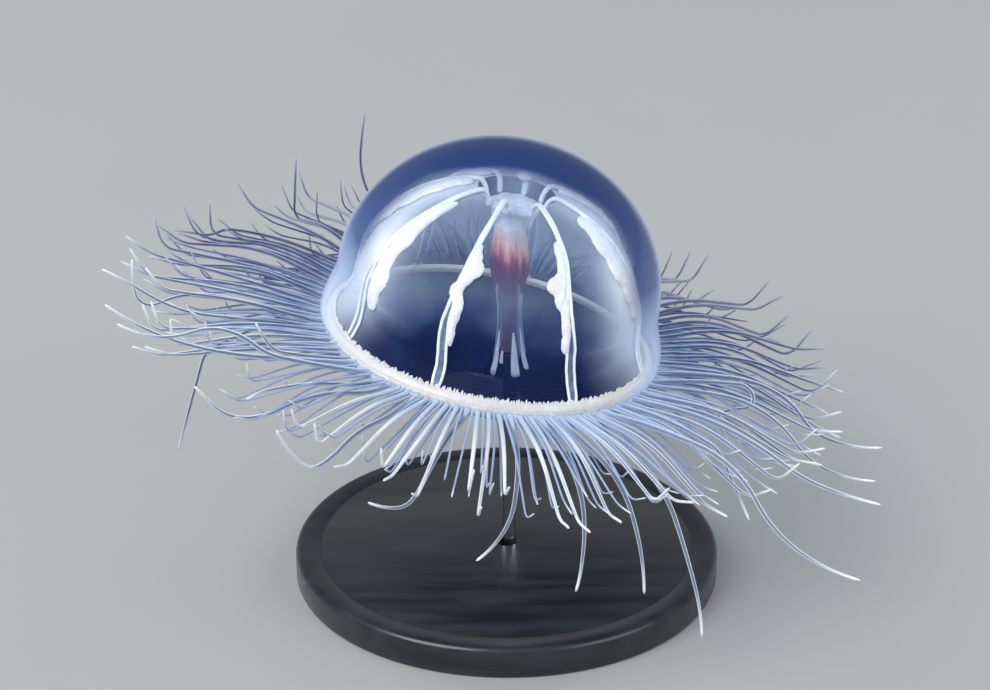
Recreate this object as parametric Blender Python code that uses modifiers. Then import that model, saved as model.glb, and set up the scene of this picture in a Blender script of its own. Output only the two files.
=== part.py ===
"""A deep-sea jellyfish (a hydromedusa), life size, held by a small display stand.

The animal is drawn in its own frame, in millimetres: the origin is the centre of the
ring round the bell's rim, Z runs up the bell's axis and azimuth 270 faces the front.
An empty tilts that frame and lifts it over the stand. The stomach hangs straight down,
so it is drawn in the stand's frame, whose origin is the centre of the base's underside.
"""

import math
import random

import bmesh
import bpy
import numpy as np
from mathutils import Matrix, Vector

MM = 0.001
GAP = 0.3  # left between pieces that touch

# where the animal floats over the stand
TILT = math.radians(10.0)  # about +Y: its right side hangs lower
RIM_CENTRE = (-1.6, 0.0, 24.5)

# bell: outer dome and the hollow under it, as quarter ellipses over a short skirt
BELL_SEGMENTS = 28
DOME_WIDTH, DOME_HEIGHT, DOME_FOOT = 14.8, 13.4, 5.3
HOLLOW_WIDTH, HOLLOW_HEIGHT, HOLLOW_FOOT = 14.0, 12.3, 3.6
SKIRT_WIDTH, SKIRT_FOOT = 15.8, 0.45
FUNNEL_WIDTH, FUNNEL_FOOT = 2.2, 13.6  # jelly that comes down round the peduncle's root

# ring round the rim, and the funnel-shaped veil that hangs from it and narrows the opening
RING_WIDTH, RING_DROP, RING_THICKNESS = 15.05, 0.35, 1.1
VELUM_WIDTH, VELUM_OPENING, VELUM_THICKNESS = 14.15, 5.0, 0.6
VELUM_DROP, VELUM_CURVE = 5.2, 0.85  # steeper near the ring than at its free edge
SECTORS = 8

# eight canals under the bell, each with a gonad on one side
CANAL_AZIMUTHS = (31, 76, 120, 163, 206, 250, 301, 346)
GONAD_SIDES = (-1, 1, 1, 1, 1, 1, -1, -1)
GONAD_LENGTHS = (7.0, 5.5, 6.0, 7.5, 7.0, 5.5, 6.0, 7.5)
CANAL_THICKNESS = 0.6
CANAL_TOP = (2.85, 13.4)
GONAD_MIDDLE = 0.62  # share of the quarter turn from rim to ridge
GONAD_WIDTH, GONAD_THICKNESS = 1.9, 1.0

# peduncle, stomach, mouth tube and lips, from the top down
PEDUNCLE_WIDTH, PEDUNCLE_FOOT = 1.5, 11.4
STOMACH_TOP, STOMACH_FOOT = 34.8, 27.3
STOMACH_X = 0.25
TUBE_FOOT, TUBE_WIDTH = 23.2, 0.75
LIPS, LIP_LENGTH, LIP_THICKNESS = 4, 2.7, 0.6
LIP_AZIMUTH, LIP_TIP_THICKNESS = 110.0, 0.5  # of the first lip

# stand
BASE_WIDTH, BASE_HEIGHT, BASE_BEVEL = 20.0, 3.0, 0.6
ROD_WIDTH, SOCKET_DEPTH = 0.6, 2.0

# tentacles: places for them round the rim, and how finely they are drawn
SLOTS = 104
ROOT_WIDTH, ROOT_DROP = 15.25, 0.45
TENTACLE_THICKNESS, TIP_THICKNESS = 0.6, 0.5
WALK_STEPS = 60
ORDINARY_LENGTHS = 5  # straight runs in an ordinary tentacle
LONG_LENGTHS = 10  # and in a long one
CLEARANCE = 0.68  # least distance between two tentacles' centre lines
TRIES = 60  # at fitting a tentacle between the others
SEED = 7

# an ordinary tentacle: length, droop and lift of the tip in degrees, and their spread
ORDINARY_LENGTH, LENGTH_SPREAD = 19.3, 1.6
ORDINARY_DROOP, DROOP_SPREAD = -14.0, 8.0
ORDINARY_TIP, TIP_SPREAD = 22.0, (-35.0, 45.0)
SWEEP_SPREAD, TIP_SWEEP_SPREAD = 6.0, 12.0

# Long or odd tentacles, clockwise from the front: azimuth, length, whether it is a piece
# of its own, and its bends as (share of the length, lift, swing) in degrees.
LONG_TENTACLES = {
    "front_hook": (262, 14.5, True, ((0, 0, 0), (0.12, -20, -20), (0.6, -58, -25), (0.72, -45, -45),
                                     (0.82, -5, -70), (1, 22, -72))),
    "left_hook": (247, 20, True, ((0, -10, -5), (0.3, -10, -22), (0.48, -40, -22), (0.6, -20, -22),
                                  (0.7, 36, -22), (1, 58, -22))),
    "left_swan": (236, 20, True, ((0, -20, -25), (0.2, 5, -31), (0.52, -28, -31), (0.68, 0, -31),
                                  (0.85, 42, -31), (1, 45, -31))),
    "left_short": (232, 13, False, ((0, -8, -20), (0.3, 5, -31), (0.85, -15, -31), (1, -45, -31))),
    "left_wave": (226, 25, True, ((0, 10, -18), (0.35, 14, -22), (0.47, 38, -22), (0.6, 15, -22),
                                  (0.72, -20, -22), (0.85, 8, -22), (1, 32, -22))),
    "left_rise": (219, 24.5, True, ((0, 5, -15), (0.4, 5, -18), (0.65, 16, -18), (1, 36, -18))),
    "left_kick": (214, 10.5, False, ((0, 3, -12), (0.6, 8, -18), (0.75, 48, -18), (1, 60, -18))),
    "left_long": (192, 21.5, False, ((0, 0, 0), (0.5, 2, 0), (0.68, 20, 0), (0.8, 29, 0), (1, 22, 0))),
    "left_crook": (184, 21.5, False, ((0, 4, 0), (0.45, 5, 0), (0.72, -36, 0), (0.84, 70, 0), (1, 85, 0))),
    "left_fall": (168, 24, False, ((0, -5, 0), (0.1, -38, 4), (0.5, -38, 4), (0.6, -84, 4), (1, -84, 4))),
    "back_level": (140, 22, False, ((0, 2, 15), (0.25, 6, 18), (0.68, -12, 18), (0.76, -40, 18),
                                    (0.86, -8, 18), (1, -12, 18))),
    "back_knee": (132, 19, False, ((0, 4, 3), (0.35, 10, 3), (0.65, -18, 3), (0.74, 80, 3), (1, 80, 0))),
    "back_rise": (118, 19, False, ((0, 18, 3), (0.55, 20, 7), (0.8, 80, 5), (1, 88, 0))),
    "right_level": (352, 23.5, True, ((0, 16, 0), (0.33, 4, 0), (0.5, -20, 0), (0.65, -48, 0),
                                      (0.78, -12, 0), (1, 18, 0))),
    "right_loop": (347, 18, False, ((0, 20, 0), (0.46, 10, 0), (0.56, -60, 0), (0.66, -160, 0),
                                    (0.75, -150, 0), (0.85, -55, 0), (1, -35, 0))),
    "right_sag": (342, 23.5, False, ((0, 14, 0), (0.3, 5, 2), (0.65, -44, 2), (0.82, -8, 2), (1, 16, 2))),
    "right_swan": (330, 25, True, ((0, 14, 0), (0.25, 3, 2), (0.62, -18, 2), (0.78, 0, 2), (1, 10, 2))),
    "right_knee": (323, 17, False, ((0, 12, 3), (0.4, -5, 6), (0.55, -10, 6), (0.65, -50, 6), (1, -50, 5))),
    "right_sweep": (312, 29, True, ((0, 12, 12), (0.35, 0, 15), (0.6, -45, 15), (0.8, -12, 15), (1, 8, 20))),
    "hanging_right": (303, 24, True, ((0, 0, 0), (0.3, -18, 17), (0.55, -55, 20), (0.8, -60, 20),
                                      (1, -74, 18))),
    "hanging_middle": (295, 19, True, ((0, 0, 5), (0.3, -15, 22), (0.6, -53, 25), (1, -76, 25))),
    "hanging_left": (287, 17.3, True, ((0, 0, 5), (0.3, -28, 22), (0.6, -66, 20), (0.8, -78, 5),
                                       (1, -65, -40))),
    "hanging_front": (277, 15.5, True, ((0, 5, 3), (0.3, -30, 5), (0.6, -58, -8), (0.8, -50, -50),
                                        (1, -35, -70))),
}


# --- the scene and small helpers -------------------------------------------------------------


def clear_scene():
    for found in list(bpy.data.objects):
        bpy.data.objects.remove(found, do_unlink=True)


def new_collection(name):
    collection = bpy.data.collections.new(name)
    bpy.context.scene.collection.children.link(collection)
    return collection


def material(name, colour, roughness, alpha=1.0, transmission=0.0):
    made = bpy.data.materials.new(name)
    made.use_nodes = True
    shader = made.node_tree.nodes["Principled BSDF"]
    shader.inputs["Base Color"].default_value = (*colour, 1.0)
    shader.inputs["Roughness"].default_value = roughness
    shader.inputs["Alpha"].default_value = alpha
    shader.inputs["Transmission Weight"].default_value = transmission
    return made


def place(name, data, collection, finish, parent=None):
    """Links a mesh as the piece of that name, smooth but for its sharp edges."""
    piece = bpy.data.objects.new(name, data)
    collection.objects.link(piece)
    piece.parent = parent
    if finish is not None:
        data.materials.append(finish)
    data.shade_smooth()
    data.set_sharp_from_angle(angle=math.radians(40))
    return piece


def around(width, azimuth, height):
    """The point at that distance from the axis, azimuth in degrees and height."""
    angle = math.radians(azimuth)
    return Vector((width * math.cos(angle), width * math.sin(angle), height))


def quarter(width, height, foot, shares):
    """Points up a quarter ellipse, from its foot at share 0 to the axis at share 1."""
    turns = [share * math.pi / 2 for share in shares]
    return [(width * math.cos(turn), foot + height * math.sin(turn)) for turn in turns]


def turned(name, profile, segments, collection, finish, parent=None, closed=False):
    """Turns a profile of (radius, height) that runs down its outer side about the Z axis."""
    data = bpy.data.meshes.new(name)
    links = [(i, i + 1) for i in range(len(profile) - 1)]
    if closed:
        links.append((len(profile) - 1, 0))
    data.from_pydata([(x * MM, 0.0, z * MM) for x, z in profile], links, [])
    piece = place(name, data, collection, finish, parent)
    screw = piece.modifiers.new("turn", "SCREW")
    screw.steps = screw.render_steps = segments
    screw.use_merge_vertices = True
    screw.merge_threshold = 0.00001
    screw.use_smooth_shade = True
    return piece


def tube_mesh(name, points, thicknesses, roundness):
    """A closed tube along the points, in millimetres, that thickens and thins as told."""
    curve = bpy.data.curves.new(name, "CURVE")
    curve.dimensions = "3D"
    curve.bevel_depth = MM / 2
    curve.bevel_resolution = roundness
    curve.use_fill_caps = True
    spline = curve.splines.new("POLY")
    spline.points.add(len(points) - 1)
    for knot, point, thickness in zip(spline.points, points, thicknesses):
        knot.co = (*(Vector(point) * MM), 1.0)
        knot.radius = thickness
    drawn = bpy.data.objects.new(name, curve)
    bpy.context.scene.collection.objects.link(drawn)
    bpy.context.view_layer.update()
    data = bpy.data.meshes.new_from_object(drawn.evaluated_get(bpy.context.evaluated_depsgraph_get()))
    bpy.data.objects.remove(drawn, do_unlink=True)
    bpy.data.curves.remove(curve)
    data.name = name
    weld(data)
    return data


def face_outwards(mesh):
    if mesh.calc_volume(signed=True) < 0:
        bmesh.ops.reverse_faces(mesh, faces=mesh.faces)


def weld(data):
    mesh = bmesh.new()
    mesh.from_mesh(data)
    bmesh.ops.remove_doubles(mesh, verts=mesh.verts, dist=0.000001)
    face_outwards(mesh)
    mesh.to_mesh(data)
    mesh.free()


def joined(name, parts):
    """One mesh of several, which stay separate shells."""
    mesh = bmesh.new()
    for part in parts:
        mesh.from_mesh(part)
        bpy.data.meshes.remove(part)
    data = bpy.data.meshes.new(name)
    mesh.to_mesh(data)
    mesh.free()
    return data


# --- bell, velum and the pieces inside -------------------------------------------------------


def bell_profile():
    """Down the outside from the crown, then up the hollow to the jelly round the peduncle."""
    outside = quarter(DOME_WIDTH, DOME_HEIGHT, DOME_FOOT, (1, 0.84, 0.68, 0.52, 0.36, 0.2, 0))
    skirt = [(SKIRT_WIDTH, 1.6), (SKIRT_WIDTH, SKIRT_FOOT), (HOLLOW_WIDTH + 0.4, SKIRT_FOOT)]
    hollow = quarter(HOLLOW_WIDTH, HOLLOW_HEIGHT, HOLLOW_FOOT, (0, 0.2, 0.36, 0.52, 0.68, 0.8))
    funnel = [(FUNNEL_WIDTH + 0.5, 15.1), (FUNNEL_WIDTH, FUNNEL_FOOT), (0.0, FUNNEL_FOOT)]
    outside[0] = (0.0, outside[0][1])
    return outside + skirt + hollow + funnel


def make_velum(collection, finish, parent):
    upper = []
    under = []
    for share in (0, 0.3, 0.65, 1):
        width = VELUM_WIDTH + (VELUM_OPENING - VELUM_WIDTH) * share
        height = -RING_DROP - VELUM_DROP * share**VELUM_CURVE
        upper.append((width, height + VELUM_THICKNESS / 2))
        under.append((width, height - VELUM_THICKNESS / 2))
    profile = upper[::-1] + under
    return turned("velum", profile, BELL_SEGMENTS, collection, finish, parent, closed=True)


def under_bell(share, inset):
    """A point (radius, height) under the hollow's roof, inset from it: rim 0, crown 1."""
    return quarter(HOLLOW_WIDTH - inset, HOLLOW_HEIGHT - inset, HOLLOW_FOOT, (share,))[0]


def canal_points(azimuth):
    """From the peduncle's root over the ridge and down the wall to the ring."""
    inset = GAP + CANAL_THICKNESS / 2
    line = [CANAL_TOP, (3.05, 14.1)]
    line += [under_bell(share, inset) for share in (0.8, 0.68, 0.54, 0.4, 0.25, 0.1)]
    line.append((HOLLOW_WIDTH + 0.15 - inset, RING_THICKNESS / 2 - RING_DROP + 2 * GAP))
    return [around(x, azimuth, z) for x, z in line]


def make_canals(collection, finish, parent):
    for number, azimuth in enumerate(CANAL_AZIMUTHS, start=1):
        points = canal_points(azimuth)
        data = tube_mesh(f"canal_{number}", points, [CANAL_THICKNESS] * len(points), 0)
        place(f"canal_{number}", data, collection, finish, parent)


def gonad_mesh(name, azimuth, side, length):
    """A flat lobe beside its canal, bent to lie under the hollow's roof."""
    mesh = bmesh.new()
    bmesh.ops.create_uvsphere(mesh, u_segments=8, v_segments=6, radius=1.0)
    offset = CANAL_THICKNESS / 2 + GAP + GONAD_WIDTH / 2
    for vert in mesh.verts:
        along, across, depth = vert.co.z, vert.co.x, vert.co.y
        share = GONAD_MIDDLE + along * length / 2 / (HOLLOW_WIDTH * math.pi / 2)
        inset = GAP + 0.15 + GONAD_THICKNESS / 2 * (1 - depth)
        x, z = under_bell(share, inset)
        sideways = side * (offset + across * GONAD_WIDTH / 2)
        point = around(x, azimuth + math.degrees(sideways / x), z)
        vert.co = point * MM
    face_outwards(mesh)
    data = bpy.data.meshes.new(name)
    mesh.to_mesh(data)
    mesh.free()
    return data


def make_gonads(collection, finish, parent):
    rows = zip(CANAL_AZIMUTHS, GONAD_SIDES, GONAD_LENGTHS)
    for number, (azimuth, side, length) in enumerate(rows, start=1):
        data = gonad_mesh(f"gonad_{number}", azimuth, side, length)
        place(f"gonad_{number}", data, collection, finish, parent)


def make_manubrium(collection, finishes, frame):
    """The peduncle in the bell's frame, and what hangs straight down from it."""
    top = FUNNEL_FOOT - GAP
    cone = [(0.0, top), (FUNNEL_WIDTH - 0.1, top), (1.7, 12.4), (PEDUNCLE_WIDTH, PEDUNCLE_FOOT),
            (0.0, PEDUNCLE_FOOT)]
    turned("peduncle", cone, 12, collection, finishes["peduncle"], frame)
    depth = STOMACH_TOP - STOMACH_FOOT
    bag = [(0.0, 0.0), (1.0, -0.1), (1.5, -0.24), (1.65, -0.46), (1.35, -0.72), (0.85, -0.93), (0.0, -1.0)]
    bag = [(x, STOMACH_TOP + z * depth) for x, z in bag]
    stomach = turned("stomach", bag, 12, collection, finishes["stomach"])
    tube_top = STOMACH_FOOT - GAP
    pipe = [(0.0, tube_top), (0.65, tube_top), (0.6, 25.0), (TUBE_WIDTH, TUBE_FOOT), (0.0, TUBE_FOOT)]
    tube = turned("mouth_tube", pipe, 10, collection, finishes["mouth"])
    for piece in (stomach, tube):
        piece.location.x = STOMACH_X * MM
    make_lips(collection, finishes["lips"])


def make_lips(collection, finish):
    top = TUBE_FOOT - GAP
    for number in range(1, LIPS + 1):
        azimuth = LIP_AZIMUTH + (number - 1) * 360 / LIPS
        line = ((1.25, top), (1.5, top - LIP_LENGTH * 0.45), (1.75, top - LIP_LENGTH))
        points = [around(x, azimuth, z) + Vector((STOMACH_X, 0, 0)) for x, z in line]
        data = tube_mesh(f"lip_{number}", points, (LIP_THICKNESS, 0.7, LIP_TIP_THICKNESS), 0)
        place(f"lip_{number}", data, collection, finish)


# --- tentacles -------------------------------------------------------------------------------


def bend(keys, share, which):
    """The lift (1) or swing (2) at a share of the length, read between the keys."""
    return float(np.interp(share, [key[0] for key in keys], [key[which] for key in keys]))


def walk(azimuth, length, keys):
    """A tentacle's centre line, walked from its root in small equal steps."""
    point = around(ROOT_WIDTH, azimuth, -ROOT_DROP)
    line = [point]
    for number in range(WALK_STEPS):
        share = (number + 0.5) / WALK_STEPS
        lift = math.radians(bend(keys, share, 1))
        heading = azimuth + bend(keys, share, 2)
        point = point + around(math.cos(lift), heading, math.sin(lift)) * (length / WALK_STEPS)
        line.append(point)
    return line


def ordinary_bends(azimuth, draw):
    """Length and bends of a tentacle that rises a little, droops, and turns up at its tip."""
    rightward = math.cos(math.radians(azimuth))
    backward = math.sin(math.radians(azimuth))
    length = ORDINARY_LENGTH + 0.5 * rightward + 1.8 * backward
    length += draw.uniform(-LENGTH_SPREAD, LENGTH_SPREAD)
    droop = ORDINARY_DROOP - 6 * rightward - 3 * backward + draw.uniform(-DROOP_SPREAD, DROOP_SPREAD)
    tip = ORDINARY_TIP - 10 * rightward + 8 * abs(backward) + draw.uniform(*TIP_SPREAD)
    sweep = 9 * rightward * (1 - backward) / 2 + draw.uniform(-SWEEP_SPREAD, SWEEP_SPREAD)
    tip_sweep = draw.uniform(-TIP_SWEEP_SPREAD, TIP_SWEEP_SPREAD)
    keys = ((0, 5 - 3 * backward, 0), (0.25, draw.uniform(0, 10), sweep / 2), (0.6, droop, sweep),
            (0.8, droop * 0.9, sweep), (0.9, tip, sweep), (1, tip, sweep + tip_sweep))
    return length, keys


def coarse(line, lengths):
    """The centre line with only every so many points kept."""
    return line[:: WALK_STEPS // lengths]


def dense(line):
    """The straight runs between the points, sampled closely."""
    spots = np.array(line)
    shares = np.linspace(0, len(line) - 1, 10 * len(line))
    return np.stack([np.interp(shares, range(len(line)), spots[:, axis]) for axis in range(3)], axis=1)


def stays_clear(samples, others):
    for other in others:
        apart = samples[:, None, :] - other[None, :, :]
        if (apart ** 2).sum(axis=2).min() < CLEARANCE ** 2:
            return False
    return True


def grow_tentacles():
    """All the centre lines by slot: the long ones first, then the rest fitted between them."""
    draw = random.Random(SEED)
    lines, taken = {}, []
    for name, (azimuth, length, alone, keys) in LONG_TENTACLES.items():
        slot = round(azimuth * SLOTS / 360) % SLOTS
        line = coarse(walk(slot * 360 / SLOTS, length, keys), LONG_LENGTHS)
        lines[slot] = (name, alone, line)
        taken.append(dense(line))
    for slot in range(SLOTS):
        if slot in lines:
            continue
        for _ in range(TRIES):
            azimuth = slot * 360 / SLOTS
            length, keys = ordinary_bends(azimuth, draw)
            line = coarse(walk(azimuth, length, keys), ORDINARY_LENGTHS)
            samples = dense(line)
            if stays_clear(samples, taken):
                lines[slot] = ("", False, line)
                taken.append(samples)
                break
    return lines


def tentacle_mesh(name, line, first=0.0, last=1.0):
    """A tapering tube along the line, between two shares of the way from root to tip."""
    top = len(line) - 1
    places = [first * top] + [i for i in range(len(line)) if first * top < i < last * top] + [last * top]
    points, thicknesses = [], []
    for spot in places:
        before = min(int(spot), top - 1)
        points.append(line[before].lerp(line[before + 1], spot - before))
        thicknesses.append(TENTACLE_THICKNESS + (TIP_THICKNESS - TENTACLE_THICKNESS) * spot / top)
    return tube_mesh(name, points, thicknesses, 0)


def make_long_tentacle(name, line, collection, finish, parent):
    """A tentacle in two lengths, which starts just clear of the ring."""
    length = sum((line[i + 1] - line[i]).length for i in range(len(line) - 1))
    start = (RING_WIDTH + RING_THICKNESS / 2 + GAP - ROOT_WIDTH) / length
    half_gap = GAP / 2 / length
    upper = tentacle_mesh(f"tentacle_{name}_upper", line, start, 0.5 - half_gap)
    lower = tentacle_mesh(f"tentacle_{name}_lower", line, 0.5 + half_gap, 1.0)
    for data in (upper, lower):
        place(data.name, data, collection, finish, parent)


def ring_mesh(name, first, last):
    """A stretch of the ring between two azimuths, less a thin cut at each end."""
    trim = math.degrees(GAP / 2 / RING_WIDTH)
    azimuths = np.linspace(first + trim, last - trim, 7)
    points = [around(RING_WIDTH, azimuth, -RING_DROP) for azimuth in azimuths]
    return tube_mesh(name, points, [RING_THICKNESS] * len(points), 1)


def make_margin(collection, cutters, finish, parent):
    """The ring in sectors, each joined with the tentacles that grow from it."""
    lines = grow_tentacles()
    per_sector = SLOTS // SECTORS
    for sector in range(SECTORS):
        first = (sector * per_sector - 0.5) * 360 / SLOTS
        ring = ring_mesh(f"margin_{sector + 1}", first, first + 360 / SECTORS)
        piece = place(f"margin_{sector + 1}", ring, collection, finish, parent)
        grown = []
        for slot in range(sector * per_sector, (sector + 1) * per_sector):
            name, alone, line = lines.get(slot, ("", False, None))
            if alone:
                make_long_tentacle(name, line, collection, finish, parent)
            elif line:
                grown.append(tentacle_mesh(f"grown_{slot}", line))
        bundle = place(f"bundle_{sector + 1}", joined(f"bundle_{sector + 1}", grown), cutters, None, parent)
        bundle.hide_render = True
        bundle.display_type = "WIRE"
        union = piece.modifiers.new("tentacles", "BOOLEAN")
        union.operation = "UNION"
        union.solver = "EXACT"
        union.object = bundle


# --- stand -----------------------------------------------------------------------------------


def make_stand(collection, base_finish, rod_finish):
    socket = ROD_WIDTH + GAP
    profile = [(0.0, BASE_HEIGHT - SOCKET_DEPTH), (socket, BASE_HEIGHT - SOCKET_DEPTH),
               (socket, BASE_HEIGHT), (BASE_WIDTH - BASE_BEVEL, BASE_HEIGHT),
               (BASE_WIDTH, BASE_HEIGHT - BASE_BEVEL), (BASE_WIDTH, 0.0), (0.0, 0.0)]
    turned("stand_base", profile, 36, collection, base_finish)
    foot = BASE_HEIGHT - SOCKET_DEPTH + GAP
    height = TUBE_FOOT - GAP - foot
    bpy.ops.mesh.primitive_cylinder_add(vertices=12, radius=ROD_WIDTH * MM, depth=height * MM)
    rod = bpy.context.active_object
    rod.name = rod.data.name = "stand_rod"
    rod.location = Vector((STOMACH_X, 0.0, foot + height / 2)) * MM
    rod.data.materials.append(rod_finish)
    for used in list(rod.users_collection):
        used.objects.unlink(rod)
    collection.objects.link(rod)


def make_finishes():
    return {
        "jelly": material("clear_blue_jelly", (0.55, 0.68, 0.9), 0.12, alpha=0.35),
        "veil": material("deep_blue_veil", (0.1, 0.16, 0.38), 0.4, alpha=0.7),
        "canal": material("milky_canal", (0.82, 0.88, 0.95), 0.35),
        "gonad": material("white_gonad", (0.95, 0.92, 0.92), 0.45),
        "tentacle": material("pale_blue_tentacle", (0.5, 0.65, 0.82), 0.35),
        "peduncle": material("milky_peduncle", (0.8, 0.82, 0.88), 0.3, alpha=0.6),
        "stomach": material("crimson_stomach", (0.45, 0.12, 0.18), 0.4),
        "mouth": material("purple_mouth_tube", (0.2, 0.07, 0.16), 0.4),
        "lips": material("pale_lips", (0.75, 0.72, 0.76), 0.4),
        "base": material("black_lacquer", (0.015, 0.018, 0.03), 0.3),
        "rod": material("clear_acrylic", (0.95, 0.97, 1.0), 0.05, transmission=0.9),
    }


def main():
    clear_scene()
    jellyfish = new_collection("jellyfish")
    cutters = new_collection("cutters")
    finishes = make_finishes()
    frame = bpy.data.objects.new("animal_frame", None)
    frame.matrix_world = Matrix.Translation(Vector(RIM_CENTRE) * MM) @ Matrix.Rotation(TILT, 4, "Y")
    jellyfish.objects.link(frame)
    turned("bell", bell_profile(), BELL_SEGMENTS, jellyfish, finishes["jelly"], frame)
    make_velum(jellyfish, finishes["veil"], frame)
    make_canals(jellyfish, finishes["canal"], frame)
    make_gonads(jellyfish, finishes["gonad"], frame)
    make_manubrium(jellyfish, finishes, frame)
    make_margin(jellyfish, cutters, finishes["tentacle"], frame)
    make_stand(jellyfish, finishes["base"], finishes["rod"])


main()
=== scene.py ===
import math
import random

import bmesh
import bpy
import numpy as np
from mathutils import Matrix, Vector, noise


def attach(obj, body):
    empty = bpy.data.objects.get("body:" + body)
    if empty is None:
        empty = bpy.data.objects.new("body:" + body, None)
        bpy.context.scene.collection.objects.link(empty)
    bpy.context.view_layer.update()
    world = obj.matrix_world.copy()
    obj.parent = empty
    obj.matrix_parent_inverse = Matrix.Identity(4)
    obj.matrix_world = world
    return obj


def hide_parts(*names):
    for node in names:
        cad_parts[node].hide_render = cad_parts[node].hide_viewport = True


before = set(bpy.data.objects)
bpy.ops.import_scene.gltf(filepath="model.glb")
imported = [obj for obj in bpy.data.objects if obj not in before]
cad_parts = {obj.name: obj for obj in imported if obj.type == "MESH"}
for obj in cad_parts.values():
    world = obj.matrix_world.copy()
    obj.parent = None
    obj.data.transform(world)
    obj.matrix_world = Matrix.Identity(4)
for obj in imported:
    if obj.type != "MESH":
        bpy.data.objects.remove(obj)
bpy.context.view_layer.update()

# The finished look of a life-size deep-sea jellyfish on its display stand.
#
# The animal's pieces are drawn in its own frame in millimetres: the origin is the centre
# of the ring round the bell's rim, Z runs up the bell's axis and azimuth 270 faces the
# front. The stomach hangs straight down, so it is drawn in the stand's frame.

MM = 0.001
SEED = 7

# where the animal floats over the stand
TILT = math.radians(10.0)  # about +Y: its right side hangs lower
RIM_CENTRE = (-1.6, 0, 24.5)
ANIMAL = Matrix.Translation(Vector(RIM_CENTRE) * MM) @ Matrix.Rotation(TILT, 4, "Y")
STANDING = Matrix.Identity(4)
HANGING = Matrix.Translation((0.25 * MM, 0, 0))  # straight down, over the rod

# Profiles are (radius, height) in millimetres.

# bell: outer dome and the hollow under it, as quarter ellipses over a short skirt
BELL_SEGMENTS = 192
DOME_STEPS, SKIRT_STEPS = 44, 16
DOME_WIDTH, DOME_HEIGHT, DOME_FOOT = 14.8, 13.4, 5.3
HOLLOW_WIDTH, HOLLOW_HEIGHT, HOLLOW_FOOT = 14.0, 12.3, 3.6
HOLLOW_REACH = 0.8  # share of the quarter ellipse, from the rim up to the funnel
SKIRT_WIDTH, SKIRT_FOOT = 15.8, 0.45
BELL_EDGE = [(15.76, 0.38), (15.66, 0.34), (15.5, 0.4), (15.36, 0.75)]
BELL_INSIDE = [(15.05, 1.3), (14.55, 2.2)]
BELL_FUNNEL = [(3.55, 15.5), (2.9, 15.0), (2.5, 14.5), (2.3, 13.9), (1.9, 13.65), (1, 13.6), (0, 13.6)]
UNEVEN = 0.16  # of the bell, at most, outwards

# the muscle sheet under the canals
MUSCLE_INSET = 0.95
MUSCLE_FOOT = [(14.35, 0.5), (13.8, 1.3), (13.35, 2.4)]
MUSCLE_RIDGE = [(3.75, 14.5), (3.55, 14.5)]

# ring round the rim, its foot and its teeth
RING_WIDTH = 15.05
RING_BAND = [(14.3, 0.1), (14.42, 0.5), (14.72, 0.66), (15.0, 0.55), (15.2, 0.2), (15.26, -0.2),
             (15.1, -0.55), (14.75, -0.7), (14.42, -0.5)]
RING_SOLE = [(15.0, -0.28), (15.32, -0.2), (15.55, -0.42), (15.52, -0.72), (15.25, -0.9), (14.95, -0.8)]
TEETH, TOOTH_JITTER = 400, 0.25
TOOTH_INSET, TOOTH_FOOT = 0.42, 0.2
TOOTH_DEPTH, TOOTH_WIDTHS, TOOTH_HEIGHTS = 0.15, (0.11, 0.17), (0.38, 0.58)
TOOTH_LEAN = math.radians(-24)

# the veil that narrows the opening: a funnel under the rim, with two sets of pleats
VELUM_SEGMENTS, VELUM_ROWS = 384, 14
VELUM_WIDTH, VELUM_OPENING, VELUM_ROOT, VELUM_DROP, VELUM_SKIN = 14.45, 4.1, 0.3, 5.6, 0.22
WIDE_PLEATS, NARROW_PLEATS = 31, 52
PLEAT_OUT, PLEAT_DOWN = 0.06, 0.05
VEIL_RAYS = 260.0

# eight canals under the bell, and the lobes of the gonad beside each of them as
# (share of the way up, mm to one side, half length, half width)
CANAL_AZIMUTHS = (31, 76, 120, 163, 206, 250, 301, 346)
CANAL_INSET = 0.62
CANAL_ROOT = [(14.45, 0.4), (14.0, 1.3), (13.6, 2.4)]
CANAL_STOPS = (0.04, 0.12, 0.25, 0.4, 0.54, 0.68, 0.78)  # shares of the way up the hollow
CANAL_END = [(3.55, 14.75), (3.05, 14.35), (2.8, 13.8), (2.7, 13.3)]
CANAL_CLOSED, CANAL_GAP = 0.07, 0.42  # from the middle to each wall, least and widest
CANAL_OPEN = ((0, 0.12, 0.28, 0.46), (0.75, 1, 0.9, 0))  # how far the walls part, by share
CANAL_RADII = ((0, 0.3, 0.5, 0.85, 1), (0.12, 0.13, 0.19, 0.2, 0.18))  # of the walls, by share
FILM_STEPS = 4
CANAL_SWAYS = (0, 0, 0, 0, -0.8, -0.45, -0.7, 0)  # mm to one side, half way up
GONAD_INSET, GONAD_DEPTH = 0.78, 0.4
GONAD_BRIDGE = 0.85  # width of the small lobe between each two
GONAD_VOXEL, GONAD_EASING = 0.11, 8
GONAD_CRUMPLES = ((0.07, 1.7), (0.035, 4.1))  # height, and folds to the millimetre
GONAD_MERIDIAN = (HOLLOW_WIDTH - 0.9) * math.pi / 2  # the way up, in millimetres
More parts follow.
